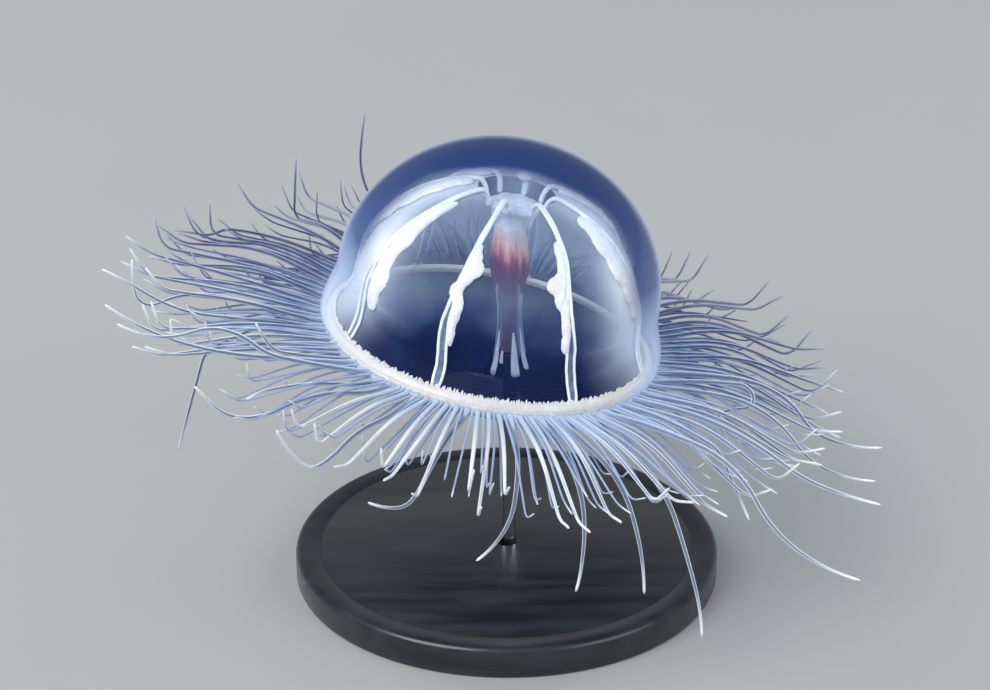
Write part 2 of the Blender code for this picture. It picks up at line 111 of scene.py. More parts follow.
GONAD_LOBES = (
    ((0.34, -0.5, 2.0, 0.8), (0.46, -0.7, 2.2, 1.2), (0.6, -0.6, 2.2, 1.1), (0.72, -0.4, 1.5, 0.8)),
    ((0.5, 0.8, 1.6, 0.5), (0.62, 0.9, 1.7, 0.8), (0.76, 0.55, 1.7, 0.75), (0.84, 0.2, 1, 0.7)),
    ((0.44, 0.7, 1.8, 0.8), (0.58, 0.8, 2.0, 1.2), (0.72, 0.6, 1.9, 1.1)),
    ((0.17, 0.9, 1.4, 0.9), (0.26, 1.2, 1.9, 1.35), (0.37, 1.4, 2.2, 1.7), (0.49, 1.35, 2.2, 1.6),
     (0.62, 1, 2.1, 1.3), (0.73, 0.6, 1.6, 0.9)),
    ((0.07, 1.5, 1.4, 0.8), (0.17, 1.6, 1.7, 1.2), (0.275, 1.2, 1.6, 0.9), (0.385, 1.1, 1.7, 1.05),
     (0.5, 0.75, 2.0, 0.7), (0.61, 0.55, 1.8, 0.5)),
    ((0.085, 0.62, 1.3, 0.36), (0.19, 0.6, 1.9, 0.5), (0.275, 0.2, 1, 0.4),
     (0.297, -0.25, 0.8, 0.42), (0.34, 0.25, 1.1, 0.45), (0.415, 0.85, 0.95, 0.72), (0.47, 0.3, 1.6, 0.4)),
    ((0.11, -0.55, 1.1, 0.34), (0.19, -0.35, 1.9, 0.42), (0.28, -0.35, 1.7, 0.45),
     (0.39, -1.15, 0.95, 0.85), (0.4, -0.5, 1.6, 0.5), (0.545, -0.35, 1.4, 0.38)),
    ((0.17, -0.85, 1.4, 0.8), (0.28, -1.1, 1.9, 1.15), (0.4, -1.35, 2.1, 1.5), (0.51, -1.2, 2.0, 1.5),
     (0.62, -0.75, 1.7, 1.1)),
)

# peduncle
PEDUNCLE_PROFILE = [(0, 13.7), (1.3, 13.68), (2.0, 13.5), (2.25, 13.15), (2.08, 12.7), (1.93, 12.2),
                    (1.84, 11.7), (1.78, 11.2), (1.74, 10.7), (1.7, 10.2)]
PEDUNCLE_FLUTE = 0.12

# stomach, mouth tube, sleeve and lips; heights over the stand
STOMACH_PROFILE = [(0, 36.0), (0.6, 35.92), (1.05, 35.7), (1.28, 35.3), (1.42, 34.5), (1.55, 33.5),
                   (1.66, 32.3), (1.62, 31.2), (1.42, 30.0), (1.1, 28.8), (0.82, 27.6), (0.66, 26.4),
                   (0.58, 25.2), (0.6, 24.2), (0.72, 23.4), (0.7, 23.1), (0.45, 23.2), (0.3, 24.0)]
STOMACH_FOLDS, FOLD_TWIST = 4, 9  # degrees of twist to the millimetre
SLEEVE_PROFILE = [(1.3, 30.2), (1.22, 29.0), (1.12, 27.8), (1.08, 26.4), (1.12, 25.0), (1.22, 23.8),
                  (1.34, 22.9)]
LIPS, LIP_AZIMUTH = 4, 110.0
LIP_KNOTS = ((1, 25.2), (1.15, 23.8), (1.32, 22.4), (1.6, 21.2))
LIP_END = (1.66, 20.3)
LIP_RISES = (0.9, 0.5, 1.2, 0.6)  # of each lip's end
LIP_RADII = ((0, 0.4, 0.7, 0.85, 0.95, 1), (0.08, 0.32, 0.42, 0.4, 0.34, 0.12))

# stand; the groove's radii run inwards from the edge
BASE_WIDTH, BASE_HEIGHT, BASE_BEVEL = 20.0, 3.0, 0.6
BASE_SOCKET = [(0, 1.02), (0.86, 1.02), (0.9, 1.1), (0.9, 2.9), (0.98, 3.0)]
BASE_GROOVE = ((2.0, 3.0), (1.9, 2.9), (1.75, 2.86), (1.6, 2.9), (1.5, 3.0), (0.05, 3.0))
BASE_FOOT = [(20.0, 0.35), (19.9, 0.1), (19.65, 0), (0, 0)]
ROD_WIDTH, ROD_FOOT, ROD_TOP = 0.6, 1.3, 22.9

# tentacles: places for the thick ones round the rim
SLOTS, SECTORS = 104, 8
ROOT_WIDTH, ROOT_DROP = 15.25, 0.45
LONG, LONG_TIP = 0.56, 0.24
THICK, THICK_TIP = 0.46, 0.22
FINE, FINE_TIP = 0.26, 0.15
CORE, ROUND_TIP = 0.42, 0.45  # shares of the radius
WALK_STEPS = 60
ORDINARY_LENGTHS, LONG_LENGTHS = 5, 10  # straight runs that stand for a line
CLEARANCE, FINE_CLEARANCE = 0.68, 0.4  # least distance between the centre lines
TRIES, FINE_TRIES = 60, 20

# Two rows of finer ones: place in the slot, drop of the root, least and greatest share of an
# ordinary length, and degrees of sag.
FINE_ROWS = ((0.5, 0, 0.68, 0.97, 0), (0.02, 0.4, 0.45, 0.8, -9.0))
FINE_STAGGER, FINE_SHORTER = 0.16, 0.015

# Ordinary ones: length, droop and upturn of the tip in degrees, with what the right side and the
# back add to each, and how far each is drawn at random; then the sweep to one side.
ORDINARY_LENGTH, LENGTH_RIGHT, LENGTH_BACK, LENGTH_SPREAD = 19.3, 0.5, 1.8, 1.6
ORDINARY_DROOP, DROOP_RIGHT, DROOP_BACK, DROOP_SPREAD = -14.0, -6, -3, 8.0
ORDINARY_TIP, TIP_RIGHT, TIP_ENDS, TIP_SPREAD = 22.0, -10, 8, (-35.0, 45.0)
SWEEP_RIGHT, SWEEP_SPREAD, TIP_SWEEP_SPREAD = 9, 6.0, 12.0

# Tentacles with a course of their own, clockwise from the front: azimuth, length, and bends as
# (share of the length, lift, swing) in degrees. The long ones are pieces; the odd ones join the fringe.
LONG_TENTACLES = {
    "front_hook": (262, 14.5, (
        (0, 0, 0), (0.12, -20, -20), (0.6, -58, -25), (0.72, -45, -45), (0.82, -5, -70), (1, 22, -72))),
    "left_hook": (247, 20, (
        (0, -10, -5), (0.3, -10, -22), (0.48, -40, -22), (0.6, -20, -22), (0.7, 36, -22), (1, 58, -22))),
    "left_swan": (236, 20, (
        (0, -20, -25), (0.2, 5, -31), (0.52, -28, -31), (0.68, 0, -31), (0.85, 42, -31), (1, 45, -31))),
    "left_wave": (226, 25, (
        (0, 10, -18), (0.35, 14, -22), (0.47, 38, -22), (0.6, 15, -22), (0.72, -20, -22), (0.85, 8, -22),
        (1, 32, -22))),
    "left_rise": (219, 24.5, ((0, 5, -15), (0.4, 5, -18), (0.65, 16, -18), (1, 36, -18))),
    "right_level": (352, 23.5, (
        (0, 16, 0), (0.33, 4, 0), (0.5, -20, 0), (0.65, -48, 0), (0.78, -12, 0), (1, 18, 0))),
    "right_swan": (330, 25, ((0, 14, 0), (0.25, 3, 2), (0.62, -18, 2), (0.78, 0, 2), (1, 10, 2))),
    "right_sweep": (312, 29, ((0, 12, 12), (0.35, 0, 15), (0.6, -45, 15), (0.8, -12, 15), (1, 8, 20))),
    "hanging_right": (303, 24, ((0, 0, 0), (0.3, -18, 17), (0.55, -55, 20), (0.8, -60, 20), (1, -74, 18))),
    "hanging_middle": (295, 19, ((0, 0, 5), (0.3, -15, 22), (0.6, -53, 25), (1, -76, 25))),
    "hanging_left": (287, 17.3, ((0, 0, 5), (0.3, -28, 22), (0.6, -66, 20), (0.8, -78, 5), (1, -65, -40))),
    "hanging_front": (277, 15.5, (
        (0, 5, 3), (0.3, -30, 5), (0.6, -58, -8), (0.8, -50, -50), (1, -35, -70))),
}
ODD_TENTACLES = (
    (232, 13, ((0, -8, -20), (0.3, 5, -31), (0.85, -15, -31), (1, -45, -31))),
    (214, 10.5, ((0, 3, -12), (0.6, 8, -18), (0.75, 48, -18), (1, 60, -18))),
    (192, 21.5, ((0, 0, 0), (0.5, 2, 0), (0.68, 20, 0), (0.8, 29, 0), (1, 22, 0))),
    (184, 21.5, ((0, 4, 0), (0.45, 5, 0), (0.72, -36, 0), (0.84, 70, 0), (1, 85, 0))),
    (168, 24, ((0, -5, 0), (0.1, -38, 4), (0.5, -38, 4), (0.6, -84, 4), (1, -84, 4))),
    (140, 22, ((0, 2, 15), (0.25, 6, 18), (0.68, -12, 18), (0.76, -40, 18), (0.86, -8, 18), (1, -12, 18))),
    (132, 19, ((0, 4, 3), (0.35, 10, 3), (0.65, -18, 3), (0.74, 80, 3), (1, 80, 0))),
    (118, 19, ((0, 18, 3), (0.55, 20, 7), (0.8, 80, 5), (1, 88, 0))),
    (347, 18, (
        (0, 20, 0), (0.46, 10, 0), (0.56, -60, 0), (0.66, -160, 0), (0.75, -150, 0), (0.85, -55, 0),
        (1, -35, 0))),
    (342, 23.5, ((0, 14, 0), (0.3, 5, 2), (0.65, -44, 2), (0.82, -8, 2), (1, 16, 2))),
    (323, 17, ((0, 12, 3), (0.4, -5, 6), (0.55, -10, 6), (0.65, -50, 6), (1, -50, 5))),
)

# camera, and lamps as position, size, power, colour and whether they leave highlights
VIEW_DOWN = math.radians(25.0)
VIEW_DISTANCE, VIEW_RIGHT, VIEW_DROP = 262.0, 0.506, 0.856
LENS, SENSOR = 103.6, 36.0
LAMP_AIM = (0, 0, 0.028)
LAMPS = {
    "key": ((-0.36, -0.34, 0.5), 0.5, 4.4, (1, 0.985, 0.96), True),
    "fill": ((0.5, -0.34, 0.32), 0.5, 1.7, (0.92, 0.96, 1), True),
    "rim_left": ((-0.42, 0.36, 0.26), 0.42, 1.5, (0.9, 0.95, 1), False),
    "rim_right": ((0.44, 0.34, 0.26), 0.42, 1.5, (0.9, 0.95, 1), False),
}
SKY, SKY_STRENGTH = (0.93, 0.96, 1, 1), 0.3
FLOOR = [(-3, -3, 0), (3, -3, 0), (3, 3, 0), (-3, 3, 0)]


# --- gathering shapes ---


def around(width, azimuth, height):
    """The point at that distance from the axis, azimuth in degrees and height."""
    angle = math.radians(azimuth)
    return Vector((width * math.cos(angle), width * math.sin(angle), height))


def smooth_line(knots, steps):
    """A smooth curve through the knots, with that many steps from each to the next."""
    spots = np.array(knots, float)
    ends = np.vstack([2 * spots[0] - spots[1], spots, 2 * spots[-1] - spots[-2]])
    line = []
    for i in range(1, len(ends) - 2):
        a, b, c, d = ends[i - 1:i + 3]
        for step in range(steps):
            t = step / steps
            line.append(0.5 * (2 * b + (c - a) * t + (2 * a - 5 * b + 4 * c - d) * t ** 2
                               + (3 * b - a - 3 * c + d) * t ** 3))
    line.append(spots[-1])
    return np.array(line)


def show(name, data):
    """A new object in the scene."""
    made = bpy.data.objects.new(name, data)
    bpy.context.scene.collection.objects.link(made)
    return made


class Shape:
    """Tubes and turned sheets in one mesh; "along" is how far along a tube a point is."""

    def __init__(self):
        self.points, self.faces, self.along, self.finishes = [], [], [], []

    def grid(self, rows, along=None, finish=0, round_columns=True, flip=False):
        """Quads between rows of points, closed round if asked."""
        start = len(self.points)
        count = len(rows[0])
        for row, share in zip(rows, [0.0] * len(rows) if along is None else along):
            self.points.extend(row)
            self.along.extend([share] * count)
        across = count if round_columns else count - 1
        for r in range(len(rows) - 1):
            for c in range(across):
                n = (c + 1) % count
                a, b = start + r * count + c, start + r * count + n
                face = (a, b, b + count, a + count)
                self.faces.append(face[::-1] if flip else face)
                self.finishes.append(finish)
        return start

    def turned(self, profile, segments, bump=None, smooth=0, **sides):
        """A sheet turned round the axis, smoothed in that many steps; bump shifts a point."""
        rows = []
        for width, height in smooth_line(profile, smooth) if smooth else profile:
            row = []
            for step in range(segments):
                azimuth = step * 360 / segments
                point = around(max(width, 0.002), azimuth, height)
                row.append(tuple(bump(point, azimuth, width, height)) if bump else tuple(point))
            rows.append(row)
        return self.grid(rows, **sides)

    def cap(self, first, count, finish=0, flip=False):
        face = tuple(range(first, first + count))
        self.faces.append(face if flip else face[::-1])
        self.finishes.append(finish)

    def tube(self, line, radii, sides, finish=0, flatten=1, sideways=(0.31, 0.17, 0.93)):
        """A closed tube along the line. flatten narrows it square to the sideways direction."""
        line = np.array(line, float)
        ahead = np.gradient(line, axis=0)
        ahead /= np.linalg.norm(ahead, axis=1)[:, None]
        first = np.array(sideways, float)
        turns = np.linspace(0, 2 * math.pi, sides, endpoint=False)
        rows = []
        for point, way, radius in zip(line, ahead, radii):
            first = first - way * first.dot(way)
            first /= np.linalg.norm(first)
            second = np.cross(way, first)
            ring = point + radius * (np.cos(turns)[:, None] * first
                                     + flatten * np.sin(turns)[:, None] * second)
            rows.append([tuple(spot) for spot in ring])
        start = self.grid(rows, np.linspace(0, 1, len(rows)), finish)
        self.cap(start, sides, finish)
        self.cap(start + (len(rows) - 1) * sides, sides, finish, flip=True)

    def ball(self, detail, place):
        """A closed form: place says where each point of a unit sphere goes."""
        ball = bmesh.new()
        bmesh.ops.create_icosphere(ball, subdivisions=detail, radius=1)
        start = len(self.points)
        for vert in ball.verts:
            self.points.append(tuple(place(vert.co)))
            self.along.append(0.0)
        for face in ball.faces:
            self.faces.append(tuple(start + vert.index for vert in face.verts))
            self.finishes.append(0)
        ball.free()

    def piece(self, name, frame_of, *finishes, crease=None):
        """The shape as an object in that frame, with the materials of those names."""
        data = bpy.data.meshes.new(name)
        data.from_pydata([frame_of @ (Vector(spot) * MM) for spot in self.points], [], self.faces)
        for finish in finishes:
            data.materials.append(bpy.data.materials[finish])
        data.polygons.foreach_set("material_index", self.finishes)
        data.attributes.new("along", "FLOAT", "POINT").data.foreach_set("value", self.along)
        data.update()
        data.shade_smooth()
        if crease:
            data.set_sharp_from_angle(angle=math.radians(crease))
        return show(name, data)


def mount(piece, slot, *nodes):
    """The piece rides on the one body and stands for those solids."""
    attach(piece, "root")
    if nodes:
        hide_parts(*nodes)


def bake_modifiers(piece):
    """The piece's modifiers become its mesh."""
    graph = bpy.context.evaluated_depsgraph_get()
    data = bpy.data.meshes.new_from_object(piece.evaluated_get(graph))
    old = piece.data
    piece.modifiers.clear()
    piece.data = data
    data.name = old.name
    bpy.data.meshes.remove(old)
    data.shade_smooth()


# --- materials ---


class Finish:
    """A material whose nodes are added from its Principled shader backwards."""

    def __init__(self, name, **constants):
        material = bpy.data.materials.new(name)
        material.use_nodes = True
        self.tree = material.node_tree
        self.shader = self.tree.nodes["Principled BSDF"]
        for socket, value in constants.items():
            self.shader.inputs[socket.replace("_", " ")].default_value = value

    def add(self, kind, inputs=None, output=0, **settings):
        """A node with those settings; each input is a number or another node's output."""
        node = self.tree.nodes.new("ShaderNode" + kind)
        for key, value in settings.items():
            setattr(node, key, value)
        for socket, value in (inputs or {}).items():
            if isinstance(value, bpy.types.NodeSocket):
                self.tree.links.new(value, node.inputs[socket])
            else:
                colour = node.inputs[socket].type == "RGBA"
                node.inputs[socket].default_value = (*value, 1) if colour else value
        return node.outputs[output]

    def drive(self, socket, source):
        self.tree.links.new(source, self.shader.inputs[socket])

    def place(self, standing=False):
        """The point on the piece in millimetres, in the animal's frame or in the stand's."""
        where = self.add("TexCoord", output=3)
        shift, turn = ((0, 0, 0), (0, 0, 0)) if standing else (Vector(RIM_CENTRE) * MM, (0, TILT, 0))
        return self.add("Mapping", {"Vector": where, "Location": shift, "Rotation": turn,
                                    "Scale": (MM, MM, MM)}, vector_type="TEXTURE")

    def axis(self, which, standing=False):
        """How far along X, Y or Z (0 to 2) the point is."""
        return self.add("SeparateXYZ", {0: self.place(standing)}, output=which)

    def grazing(self):
        """From 0, face on, to 1, edge on."""
        return self.add("LayerWeight", {"Blend": 0.5}, output=1)

    def stretched(self, *scales):
        """The point in the stand's frame, with each axis scaled."""
        return self.add("VectorMath", {0: self.place(standing=True), 1: scales}, operation="MULTIPLY")

    def maths(self, operation, first, second=0, clamp=False):
        return self.add("Math", {0: first, 1: second}, operation=operation, use_clamp=clamp)

    def plus(self, first, *others, clamp=False):
        """The sum; clamp keeps it between 0 and 1."""
        for other in others[:-1]:
            first = self.maths("ADD", first, other)
        return self.maths("ADD", first, others[-1], clamp)

    def times(self, first, second):
        return self.maths("MULTIPLY", first, second)

    def spread(self, value, low, high, to_low=0, to_high=1, smooth=True):
        """The value, taken from one range to another and kept inside it."""
        kind = "SMOOTHSTEP" if smooth else "LINEAR"
        return self.add("MapRange", {"Value": value, "From Min": low, "From Max": high, "To Min": to_low,
                                     "To Max": to_high}, interpolation_type=kind)

    def ramp(self, value, *stops):
        """Colours at shares 0 to 1 of the value."""
        made = self.add("ValToRGB", {0: value})
        ramp = made.node.color_ramp
        while len(ramp.elements) < len(stops):
            ramp.elements.new(0.5)
        for element, (spot, colour) in zip(ramp.elements, stops):
            element.position = spot
            element.color = (*colour, 1)
        return made

    def noise(self, scale, detail=3.0, where=None):
        """Cloudy noise with that many features to the millimetre."""
        return self.add("TexNoise", {"Vector": where or self.place(), "Scale": scale, "Detail": detail,
                                     "Roughness": 0.55})

    def rays(self):
        """Fine raised rays round the axis."""
        turn = self.maths("DIVIDE", self.maths("ARCTAN2", self.axis(1), self.axis(0)), 2 * math.pi)
        rays = self.add("TexNoise", {"W": self.times(turn, VEIL_RAYS), "Scale": 1}, noise_dimensions="1D")
        self.bump(rays, 0.05)
        return rays

    def tissue(self, grain, colour, dark):
        """Two tones in cloudy noise, which it gives back, with a fine wet grain."""
        cloud = self.noise(grain, 4.0)
        self.paint(self.spread(cloud, 0.35, 0.68), colour, dark)
        self.bump(self.noise(grain * 4), 0.03)
        return cloud

    def mix(self, share, first, second):
        """From the first colour to the second, by that share."""
        return self.add("Mix", {0: share, 6: first, 7: second}, output=2, data_type="RGBA")

    def paint(self, share, first, second):
        """The base colour, mixed from two."""
        self.drive("Base Color", self.mix(share, first, second))

    def see_through(self, alpha, held, tint):
        """Clear by that alpha with a tint; only that share of it is held against lamp light."""
        lamp = self.add("LightPath", output=1)
        solid = self.times(alpha, self.spread(lamp, 0, 1, 1, held, smooth=False))
        clear = self.add("BsdfTransparent", {0: self.mix(lamp, tint, (0.94, 0.97, 1))})
        both = self.add("MixShader", {0: solid, 1: clear, 2: self.shader.outputs[0]})
        self.tree.links.new(both, self.tree.nodes["Material Output"].inputs["Surface"])

    def bump(self, height, distance):
        """Relief of that many millimetres."""
        relief = self.add("Bump", {"Height": height, "Distance": distance * MM})
        self.drive("Normal", relief)


def jelly_finish():
    """The clear dome: navy over the crown, clear below, more solid edge on, and paler milky blue along its
    edges as a painted sheen.
    """
    made = Finish("clear_blue_jelly", Roughness=0.25, Specular_IOR_Level=0.25, Coat_Weight=0.1,
                  Coat_Roughness=0.08)
    height = made.axis(2)
    grazing = made.grazing()
    edge = made.spread(grazing, 0.33, made.spread(height, 4.0, 11.0, 0.82, 0.52), 0, 0.88)
    cloud = made.spread(made.noise(0.25, 2.0), 0.35, 0.7, -0.01, 0.02)
    thick = made.plus(made.spread(height, 15.6, 18.4, 0.02, 0.5), cloud)
    made.see_through(made.plus(thick, edge, clamp=True), 0.06,
                     made.mix(made.spread(height, 9.0, 16.0), (0.97, 0.985, 1), (0.84, 0.9, 1)))
    # Edge colour by height, pale blue low down to navy at the crown, paler still right at the silhouette: a
    # painted sheen along the dome's edges.
    rim = made.ramp(
        made.spread(height, 0, 18.7, smooth=False), (0, (0.66, 0.78, 0.92)), (0.3, (0.4, 0.54, 0.78)),
        (0.5, (0.05, 0.1, 0.27)), (0.65, (0.025, 0.06, 0.2)), (1, (0.006, 0.03, 0.13)))
    tint = made.mix(made.spread(grazing, 0.2, 0.6), (0.02, 0.05, 0.18), rim)
    made.paint(made.spread(grazing, 0.74, 0.95, 0, 0.85), tint, (0.42, 0.52, 0.74))


def hollow_finish():
    """The roof of the hollow, a faint clear skin, cloudier at the top behind the stomach."""
    made = Finish("clear_hollow_skin", Roughness=0.3, Specular_IOR_Level=0.1)
    cloud = made.noise(0.4, 2.0)
    tint = made.mix(cloud, (0.05, 0.1, 0.28), (0.12, 0.2, 0.42))
    made.paint(made.spread(made.axis(2), 12.0, 13.0), tint, (0.5, 0.62, 0.74))
    behind = made.spread(made.axis(1), 0, 3.0, 0, 0.42)
    roof = made.times(made.spread(made.axis(2), 12.2, 13.6), behind)
    made.see_through(made.plus(made.spread(cloud, 0.3, 0.7, 0.02, 0.05), roof), 0.1, (1, 1, 1))


def muscle_finish():
    """The thin muscle sheet: blue-grey above, deep navy below as painted shade inside the bell, ringed with
    fine fibres, with a painted milky sheen edge on.

    It is clearer high in front, and milkier behind and at the sides, where the painted shade fades."""
    made = Finish("blue_grey_muscle_painted_shade_and_sheen", Roughness=0.6, Specular_IOR_Level=0.05)
    height, behind = made.axis(2), made.axis(1)
    aside = made.maths("ABSOLUTE", made.axis(0))
    fibres = made.add("TexWave", {"Vector": made.place(), "Scale": 0.9, "Distortion": 2.5, "Detail": 3.0,
                                  "Detail Scale": 0.6}, output=1, wave_type="BANDS", bands_direction="Z")
    cloud = made.noise(0.16)
    # Colour by height: deep navy low in the bell is painted shade, fading behind and at the sides.
    level = made.plus(
        made.spread(height, 0, 15.2, smooth=False), made.spread(cloud, 0.3, 0.7, -0.08, 0.08),
        made.spread(behind, -1, 10.0, 0, 0.28), made.spread(aside, 4.5, 12.0, 0, 0.2))
    tint = made.ramp(
        level, (0, (0.001, 0.002, 0.03)), (0.16, (0.001, 0.004, 0.04)), (0.34, (0.01, 0.022, 0.09)),
        (0.5, (0.11, 0.17, 0.33)), (0.65, (0.3, 0.38, 0.52)), (1, (0.55, 0.63, 0.74)))
    tint = made.mix(made.spread(fibres, 0, 1, 0, 0.012), tint, (0.45, 0.55, 0.72))
    # Edge on, the sheet turns a pale milky blue: a painted sheen, held back high in front.
    edge = made.spread(made.grazing(), 0.2, made.spread(height, 6.0, 10.0, 0.8, 0.55))
    front_top = made.times(made.spread(height, 10.5, 13.0), made.spread(behind, -5.0, 0, 0.85, 0))
    edge = made.times(edge, made.maths("SUBTRACT", 1, front_top))
    made.paint(made.times(edge, made.spread(height, 0, 6.0, 0.5, 1)), tint, (0.92, 0.95, 1))
    # Near solid and tinted dark blue low down, less so behind: more of the painted shade.
    lifted = made.plus(height, made.spread(behind, 0, 9.0, 0, 3.5))
    low = made.spread(lifted, 1.9, 3.1, 0.93, 0.42)
    high = made.spread(height, 7.0, 11.5, 0, -0.3)
    back = made.times(made.spread(behind, 3.0, 9.0), made.spread(height, 12.0, 14.5, 0.2, 0))
    sides = made.times(made.spread(aside, 7.0, 12.5, 0, 0.3), made.spread(height, 7.0, 10.0, 1, 0))
    shade = made.ramp(
        made.spread(lifted, 0, 15.0, smooth=False), (0.13, (0.3, 0.4, 0.65)),
        (0.21, (0.62, 0.74, 0.93)), (0.5, (0.72, 0.82, 0.96)), (0.7, (0.92, 0.95, 1)))
    made.see_through(made.plus(low, high, back, sides, made.times(edge, 0.6), clamp=True), 0.12, shade)
    made.bump(fibres, 0.004)


def milky_finish(name, colour, dark, alpha, grain, roughness=0.3, glow=0):
    """Soft tissue of two tones. A glow stands for light let through."""
    made = Finish(name, Roughness=roughness, Subsurface_Weight=0.25, Subsurface_Scale=0.0006,
                  Coat_Weight=0.35, Coat_Roughness=0.15, Emission_Color=(*colour, 1),
                  Emission_Strength=glow)
    cloud = made.tissue(grain, colour, dark)
    if alpha < 1:
        made.drive("Alpha", made.spread(cloud, 0.3, 0.7, alpha + 0.1, alpha - 0.1))


def velum_finish():
    """The inside of the veil: a film with fine rays, painted near-black blue as shade inside the bell."""
    made = Finish("thin_veil_painted_shade", Roughness=0.5, Specular_IOR_Level=0.1)
    rays = made.rays()
    # Near-black blue: painted shade, so that the bell looks dark inside where it opens.
    made.paint(rays, (0.001, 0.003, 0.035), (0.006, 0.014, 0.085))
    made.see_through(made.spread(rays, 0.3, 0.7, 0.9, 0.97), 0.5, (0.5, 0.6, 0.85))


def veil_outside_finish():
    """The outside of the veil: pale blue translucent film, rayed, paler towards its root."""
    made = Finish("pale_veil_outside", Roughness=0.35, Specular_IOR_Level=0.3)
    rays = made.rays()
    tint = made.mix(rays, (0.12, 0.2, 0.44), (0.36, 0.48, 0.72))
    made.paint(made.spread(made.axis(2), -4.5, -0.3, 0, 0.6), tint, (0.6, 0.72, 0.9))
    made.see_through(made.spread(rays, 0.3, 0.7, 0.45, 0.75), 0.3, (0.7, 0.8, 0.95))


def ring_finish():
    """Cream tissue with pale specks, brownish towards its lower edge."""
    made = Finish("cream_ring", Roughness=0.4, Subsurface_Weight=0.3, Subsurface_Scale=0.0005,
                  Coat_Weight=0.3, Coat_Roughness=0.2)
    cloud = made.noise(0.9, 4.0)
    speck = made.add("TexVoronoi", {"Vector": made.place(), "Scale": 4.0}, output=0)
    tint = made.mix(made.spread(cloud, 0.35, 0.7), (0.92, 0.83, 0.77), (0.84, 0.7, 0.64))
    tint = made.mix(made.spread(made.axis(2), -0.55, -0.15, 0.8, 0), tint, (0.42, 0.28, 0.28))
    made.paint(made.spread(speck, 0, 0.6, 0.3, 0), tint, (0.98, 0.94, 0.9))
    made.bump(speck, 0.04)


def tentacle_finish(name, front, side, back, clear=False):
    """Steel blue, paler at the root and at the tip, with fine rings of stinging cells. Paler in front and
    darker behind is painted light and shade; the tips are whitened most in front.

    A clear one is glassy: more solid edge on, with a painted white sheen along its edges, strongest in
    front, so that the core shows between them."""
    made = Finish(name, Roughness=0.3, Coat_Weight=0.4, Coat_Roughness=0.12, Sheen_Weight=0.4,
                  Sheen_Roughness=0.35, Sheen_Tint=(0.75, 0.86, 1, 1))
    along = made.add("Attribute", output=2, attribute_name="along")
    # By depth, from the pale front colour to the dark back colour: painted light in front, painted shade
    # behind.
    depth = made.axis(1)
    level = made.plus(made.spread(depth, -20.0, 25.0, smooth=False),
                      made.spread(made.noise(0.5), 0.35, 0.7, -0.06, 0.06))
    body = made.ramp(level, (0, front), (0.22, front), (0.5, side), (0.78, back))
    # Painted light: full in front, less behind; it whitens the tips and the edges.
    painted_front_light = made.spread(depth, -8.0, 14.0, 1, 0.3)
    body = made.mix(made.spread(along, 0, 0.16, 0.5, 0), body, (0.6, 0.73, 0.87))
    tip = made.spread(along, 0.84, 0.99)
    body = made.mix(made.times(tip, painted_front_light), body, (0.94, 0.96, 1))
    if clear:
        # Edge on, a painted white sheen.
        edge = made.spread(made.grazing(), 0.12, 0.42)
        pale = made.mix(made.spread(along, 0.05, 0.6), (0.5, 0.64, 0.82), (0.93, 0.96, 1))
        body = made.mix(made.times(edge, painted_front_light), body, pale)
        solid = made.maths("MAXIMUM", edge, tip)
        made.see_through(made.spread(solid, 0, 1, 0.16, 0.97, smooth=False), 0.6, (0.95, 0.97, 1))
    made.drive("Base Color", body)
    rings = made.add("TexWave", {"Vector": made.add("CombineXYZ", {0: along}), "Scale": 36.0,
                                 "Distortion": 1.5}, output=1)
    made.bump(rings, 0.03)


def sleeve_finish():
    """The sleeve's glassy sheet, cloudy where it is seen edge on."""
    made = Finish("cloudy_sleeve", Roughness=0.35, Specular_IOR_Level=0.2)
    cloud = made.tissue(0.9, (0.95, 0.95, 0.97), (0.78, 0.8, 0.88))
    made.see_through(made.plus(made.spread(cloud, 0.3, 0.7, 0.03, 0.09),
                               made.spread(made.grazing(), 0.25, 0.85, 0, 0.6), clamp=True),
                     0.2, (0.97, 0.98, 1))


def peduncle_finish():
    """Cloudy white tissue, clear where it meets the stomach."""
    made = Finish("milky_peduncle", Roughness=0.35, Specular_IOR_Level=0.25)
    cloud = made.tissue(0.8, (0.94, 0.98, 1), (0.82, 0.89, 0.95))
    height = made.axis(2)
    body = made.times(made.spread(height, 10.7, 12.1), made.spread(height, 13.1, 13.6, 0.74, 0.68))
    made.see_through(made.times(made.spread(cloud, 0.3, 0.7, 1.15, 0.85), body), 0.3, (0.95, 0.97, 1))


def stomach_finish():
    """Salmon at the top, crimson, then dark purple, streaked lengthwise."""
    made = Finish("salmon_to_purple_stomach", Roughness=0.34, Subsurface_Weight=0.3,
                  Subsurface_Scale=0.0008, Coat_Weight=0.5, Coat_Roughness=0.12)
    streaks = made.noise(1, 4.0, made.stretched(2.2, 2.2, 0.25))
    # Colour by height and streaks; the last term makes it a little darker on its left side: painted shade.
    level = made.plus(made.spread(made.axis(2, standing=True), 22.8, 35.6, smooth=False),
                      made.spread(streaks, 0.3, 0.7, -0.05, 0.05),
                      made.spread(made.axis(0, standing=True), -1.4, 1.9, -0.07, 0.06, smooth=False))
    made.drive("Base Color", made.ramp(
        level, (0, (0.3, 0.1, 0.16)), (0.2, (0.2, 0.06, 0.16)), (0.5, (0.15, 0.04, 0.16)),
        (0.68, (0.22, 0.045, 0.17)), (0.76, (0.6, 0.1, 0.18)), (0.835, (1, 0.4, 0.33)),
        (0.92, (1, 0.74, 0.66))))
    made.bump(streaks, 0.12)


